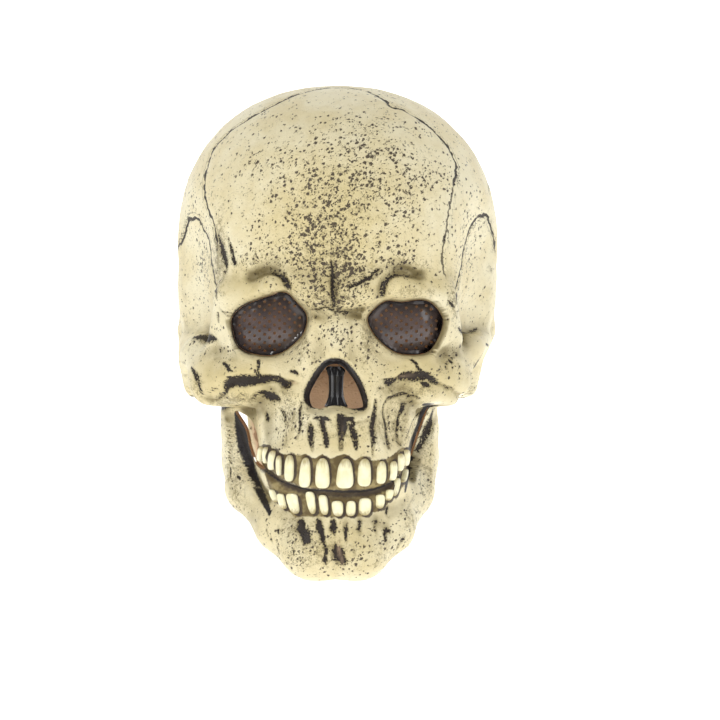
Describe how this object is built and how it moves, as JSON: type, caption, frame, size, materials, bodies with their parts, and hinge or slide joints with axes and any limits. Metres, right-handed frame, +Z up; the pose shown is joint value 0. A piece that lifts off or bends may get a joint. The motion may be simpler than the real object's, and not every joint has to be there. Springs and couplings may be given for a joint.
{
  "type": "full-head skull mask",
  "caption": "Full-head latex skull mask with open neck, perforated eye screens, open nose and separate grinning teeth.",
  "frame": {"origin": "inside top of the cranium, where the mask sits on the wearer's crown (mount head_seat)", "axes": "+Z up along the mask's height, +X to the viewer's right, the face looks along -Y"},
  "size_m": [0.1926, 0.2345, 0.2906],
  "materials": {
    "bone_latex": "cast latex painted as old bone, semi-matte, pitted and cracked, with a dark brown wash in every recess",
    "tooth_enamel": "glossy ivory paint, stained at the gum",
    "eye_screen": "smoked grey-brown sheet with small round sight holes, glossy",
    "black_septum": "high-gloss black"
  },
  "bodies": {
    "root": {"skull_shell": "bone_latex", "left_eye_screen": "eye_screen", "right_eye_screen": "eye_screen", "nasal_septum": "black_septum", "upper_tooth_01": "tooth_enamel", "upper_tooth_02": "tooth_enamel", "upper_tooth_03": "tooth_enamel", "upper_tooth_04": "tooth_enamel", "upper_tooth_05": "tooth_enamel", "upper_tooth_06": "tooth_enamel", "upper_tooth_07": "tooth_enamel", "upper_tooth_08": "tooth_enamel", "upper_tooth_09": "tooth_enamel", "upper_tooth_10": "tooth_enamel", "upper_tooth_11": "tooth_enamel", "upper_tooth_12": "tooth_enamel", "upper_tooth_13": "tooth_enamel", "lower_tooth_01": "tooth_enamel", "lower_tooth_02": "tooth_enamel", "lower_tooth_03": "tooth_enamel", "lower_tooth_04": "tooth_enamel", "lower_tooth_05": "tooth_enamel", "lower_tooth_06": "tooth_enamel", "lower_tooth_07": "tooth_enamel", "lower_tooth_08": "tooth_enamel", "lower_tooth_09": "tooth_enamel", "lower_tooth_10": "tooth_enamel", "lower_tooth_11": "tooth_enamel", "lower_tooth_12": "tooth_enamel"}
  },
  "joints": []
}
